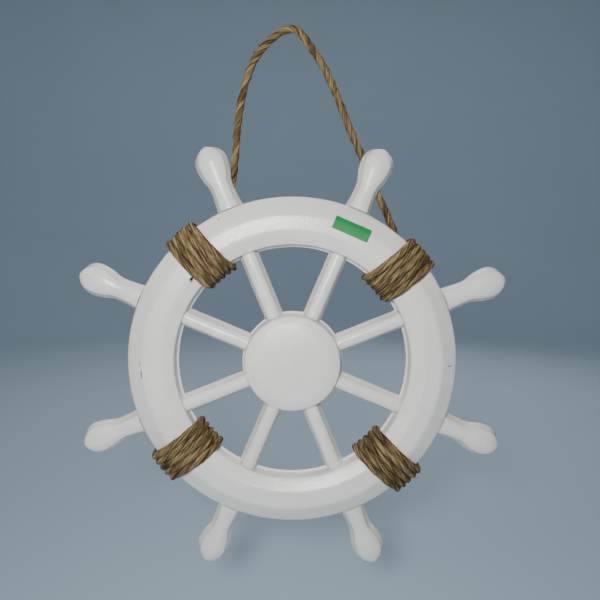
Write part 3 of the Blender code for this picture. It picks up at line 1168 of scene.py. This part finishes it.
def bar_section(half, flank, rise, steps=20):
    """Points (across, height) round a bar, from its right foot over the front to its left foot.

    flank is how far in from the foot, and how high, each flank ends; rise is the front's above that.
    """
    flank_width, flank_height = flank
    size = min(1.0, half / 0.009)
    ledge = LEDGE_WIDTH * size
    foot = min(LEDGE_HEIGHT, 0.3 * flank_height)
    shelf = min(foot + LEDGE_RISE, 0.55 * flank_height)
    ease = 0.0003 * size
    arch_half = half - flank_width
    right = [
        (half - ease, 0.0),
        (half, ease),
        (half, foot - ease),
        (half - ease, foot),
        (half - ledge + ease, shelf - ease),
        (half - ledge, shelf + ease),
        (half - ledge - 0.5 * (flank_width - ledge), (shelf + flank_height) / 2),
        (arch_half + 0.3 * ease, flank_height - ease),
    ]
    arch = []
    for step in range(steps + 1):
        across = cos(pi * step / steps)
        arch.append((arch_half * across, flank_height + rise * (1 - across**2) ** 0.85))
    left = [(-across, height) for across, height in reversed(right)]
    return [*right, *arch, *left]


def along_wall(height, corners):
    """Radius of a wall at this height, by its (radius, height) corners from the bottom up."""
    for (near, low), (far, high) in zip(corners, corners[1:]):
        if height <= high:
            return near + (far - near) * max(0.0, height - low) / (high - low)
    return corners[-1][0]


HUB_WALL = ((HUB_RADIUS, 0.0), (HUB_RADIUS, 0.0014), (0.0492, 0.0025), (0.0477, 0.0152))
RIM_WALL = ((0.1150, 0.0), (0.1150, 0.0014), (0.1168, 0.0025), (RIM_INNER, RIM_INNER_WALL))


class WHEEL_OT_spokes(bpy.types.Operator):
    """Add the eight painted spokes between the hub and the rim."""

    bl_idname = "ships_wheel.spokes"
    bl_label = "Spokes"

    def execute(self, context):
        sizes = context.scene.wheel_sizes
        paint = painted_wood("White paint, spokes", joints=(HUB_RADIUS - 0.001, 0.1165))
        section = bar_section(SPOKE_HALF_WIDTH, SPOKE_FLANK, SPOKE_RISE)
        seam = 0.00015
        eased = 0.965
        steps = 20
        shares = [0.0, 0.006, *((step + 0.5) / steps for step in range(steps)), 0.994, 1.0]
        for index in range(SPOKE_COUNT):
            turn = FIRST_SPOKE + index * SPOKE_STEP
            rings = []
            for share in shares:
                narrowing = eased if share in (0.0, 1.0) else 1.0
                ring = []
                for across, height in section:
                    across *= narrowing
                    height *= narrowing
                    inner = sqrt(along_wall(height, HUB_WALL) ** 2 - across**2) + seam
                    outer = sqrt(along_wall(height, RIM_WALL) ** 2 - across**2) - seam
                    ring.append(from_bar(turn, inner + (outer - inner) * share, across, height))
                rings.append(hand_worked(ring, sizes.unevenness))
            name = f"spoke_{index + 1}"
            mesh = ringed_mesh(f"{name}_painted", rings)
            piece = new_piece(f"{name}_painted", mesh, paint, name)
            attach(piece, "wheel")
        return {"FINISHED"}


class WHEEL_OT_handles(bpy.types.Operator):
    """Add the eight painted handles outside the rim."""

    bl_idname = "ships_wheel.handles"
    bl_label = "Handles"

    def execute(self, context):
        sizes = context.scene.wheel_sizes
        paint = painted_wood("White paint, handles", joints=(RIM_OUTER + 0.0008,))
        knots = [Vector((radius, half, 0.0)) for radius, half in HANDLE_STATIONS]
        curve = smooth_route(knots)[::4]
        neck = min(half for _, half in HANDLE_STATIONS)
        for index in range(SPOKE_COUNT):
            turn = FIRST_SPOKE + index * SPOKE_STEP
            rings = []
            for station, point in enumerate([*curve, knots[-1]]):
                radius, half = point.x, max(0.0025, point.y)
                if station == 0:
                    half *= 0.985
                fullness = min(1.0, half / neck)
                flank_width = HANDLE_FLANK[0] * fullness
                flank = (flank_width, HANDLE_FLANK[1] * (0.4 + 0.6 * fullness))
                section = bar_section(half, flank, HANDLE_RISE_SHARE * (half - flank_width))
                ring = [from_bar(turn, radius, across, height) for across, height in section]
                rings.append(hand_worked(ring, sizes.unevenness))
            name = f"handle_{index + 1}"
            mesh = ringed_mesh(f"{name}_painted", rings)
            piece = new_piece(f"{name}_painted", mesh, paint, name)
            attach(piece, "wheel")
        return {"FINISHED"}


class WHEEL_OT_bindings(bpy.types.Operator):
    """Add the rope bound round the rim in four places, with its loose fibres."""

    bl_idname = "ships_wheel.bindings"
    bl_label = "Rope bindings"

    def execute(self, context):
        sizes = context.scene.wheel_sizes
        rope_finish = jute("Jute, bindings")
        fibre_finish = loose_fibre("Loose jute fibres", (0.33, 0.23, 0.115), 0.6)
        dark_finish = loose_fibre("Dark jute fibres", (0.026, 0.016, 0.006), 0.8)
        # Near-white colour of the long fibres on the turns' fronts: a painted highlight
        highlight_finish = loose_fibre("Jute fibres, painted highlight", (0.88, 0.78, 0.60), 0.3)
        for seed, place in enumerate(WRAP_PLACES):
            line, fronts = wrap_line(place, sizes.ring_spacing)
            hand = -WRAP_PLACES[place][1]
            twist = (line, WRAP_FULLNESS * WRAP_RADIUS, sizes.wrap_lay, hand, seed)
            node = f"rope_wrap_{place}"
            mesh = tube_set(f"{node}_jute", strands(*twist))
            rope = new_piece(f"{node}_jute", mesh, rope_finish, node)
            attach(rope, "wheel")
            rng = random.Random(31 + seed)
            streaks = int(line.length * sizes.streaks_per_metre)
            count = int(line.length * sizes.fibres_per_metre)
            hairs = fuzz(line, WRAP_RADIUS, count, rng, spread=radians(85))
            hairs += laid_fibres(*twist, streaks, rng)
            mesh = tube_set(f"{node}_fibres", hairs)
            fibres = new_piece(f"{node}_fibres", mesh, fibre_finish)
            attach(fibres, "wheel")
            shadows = laid_fibres(*twist, streaks, rng)
            for root, aim, length in DARK_TUFTS[place]:
                shadows += tuft(root, aim, length, rng)
            mesh = tube_set(f"{node}_dark_fibres", shadows)
            dark_fibres = new_piece(f"{node}_dark_fibres", mesh, dark_finish)
            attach(dark_fibres, "wheel")
            # Long fibres on the turns' fronts, coloured near white as painted highlights
            highlights = [
                highlight_strand(line, fronts[turn], start, end, thickness, rng.uniform(-0.8, 0.8))
                for turn, start, end, thickness in HIGHLIGHT_STRANDS[place]
            ]
            mesh = tube_set(f"{node}_highlight_fibres", highlights)
            pale = new_piece(f"{node}_highlight_fibres", mesh, highlight_finish)
            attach(pale, "wheel")
        return {"FINISHED"}


def rim_front(radius):
    """Height of the rim's front at this radius, with the flat band's outer edge rounded off."""
    slope = (RIM_HEIGHT - RIM_OUTER_WALL) / (RIM_OUTER - RIM_FLAT_OUTER)
    past = radius - RIM_FLAT_OUTER
    return RIM_HEIGHT - slope * (past + sqrt(past**2 + 0.0016**2)) / 2


class WHEEL_OT_label(bpy.types.Operator):
    """Add the blank paper label on the front of the rim."""

    bl_idname = "ships_wheel.label"
    bl_label = "Label"

    def execute(self, context):
        bearing = atan2(LABEL_MIDDLE.z, LABEL_MIDDLE.x)
        columns = 24
        rows = 10
        bm = bmesh.new()
        layers = []
        for lift in (0.00012, 0.00012 + LABEL_THICKNESS):
            layer = []
            for column in range(columns + 1):
                across = LABEL_LENGTH * (column / columns - 0.5)
                for row in range(rows + 1):
                    along = LABEL_RADIUS + LABEL_WIDTH * (row / rows - 0.5)
                    radius = sqrt(along**2 + across**2)
                    curl = 0.0010 * max(0.0, abs(column / columns - 0.5) - 0.38) / 0.12
                    corner = curl * (row / rows) ** 2
                    height = rim_front(radius) + lift + corner
                    layer.append(bm.verts.new(from_bar(bearing, along, across, height)))
            layers.append(layer)
        below, above = layers
        wide = rows + 1

        def quad(layer, column, row):
            corners = ((0, 0), (1, 0), (1, 1), (0, 1))
            return [layer[(column + c) * wide + row + r] for c, r in corners]

        for column in range(columns):
            for row in range(rows):
                bm.faces.new(quad(below, column, row))
                bm.faces.new(quad(above, column, row))
        border = [column * wide for column in range(columns + 1)]
        border += [columns * wide + row for row in range(1, rows + 1)]
        border += [column * wide + rows for column in range(columns - 1, -1, -1)]
        border += [row for row in range(rows - 1, 0, -1)]
        for near, far in zip(border, [*border[1:], border[0]]):
            bm.faces.new((below[near], below[far], above[far], above[near]))
        mesh = smooth_mesh("price_label_paper", bm)
        piece = new_piece("price_label_paper", mesh, label_paper(), "price_label")
        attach(piece, "wheel")
        return {"FINISHED"}


OPERATORS = (
    WHEEL_OT_studio,
    WHEEL_OT_hanging_loop,
    WHEEL_OT_rim,
    WHEEL_OT_hub,
    WHEEL_OT_spokes,
    WHEEL_OT_handles,
    WHEEL_OT_bindings,
    WHEEL_OT_label,
)


class WHEEL_PT_panel(bpy.types.Panel):
    """The wheel's pieces and settings, in the sidebar."""

    bl_idname = "WHEEL_PT_panel"
    bl_label = "Ship's Wheel"
    bl_space_type = "VIEW_3D"
    bl_region_type = "UI"
    bl_category = "Ship's Wheel"

    def draw(self, context):
        for operator in OPERATORS:
            self.layout.operator(operator.bl_idname)
        for name, group in GROUPS.items():
            box = self.layout.box()
            settings = getattr(context.scene, name)
            for prop in group.__annotations__:
                box.prop(settings, prop)


GROUPS = {"wheel_sizes": WheelSizes, "wheel_colours": WheelColours, "wheel_studio": WheelStudio}


def register():
    for group in GROUPS.values():
        bpy.utils.register_class(group)
    for name, group in GROUPS.items():
        setattr(bpy.types.Scene, name, PointerProperty(type=group))
    for operator in OPERATORS:
        bpy.utils.register_class(operator)
    bpy.utils.register_class(WHEEL_PT_panel)


def unregister():
    bpy.utils.unregister_class(WHEEL_PT_panel)
    for operator in reversed(OPERATORS):
        bpy.utils.unregister_class(operator)
    for name in GROUPS:
        delattr(bpy.types.Scene, name)
    for group in reversed(GROUPS.values()):
        bpy.utils.unregister_class(group)


def main():
    register()
    bpy.ops.ships_wheel.studio()
    bpy.ops.ships_wheel.hanging_loop()
    bpy.ops.ships_wheel.rim()
    bpy.ops.ships_wheel.hub()
    bpy.ops.ships_wheel.spokes()
    bpy.ops.ships_wheel.handles()
    bpy.ops.ships_wheel.bindings()
    bpy.ops.ships_wheel.label()


if __name__ == "__main__":
    main()
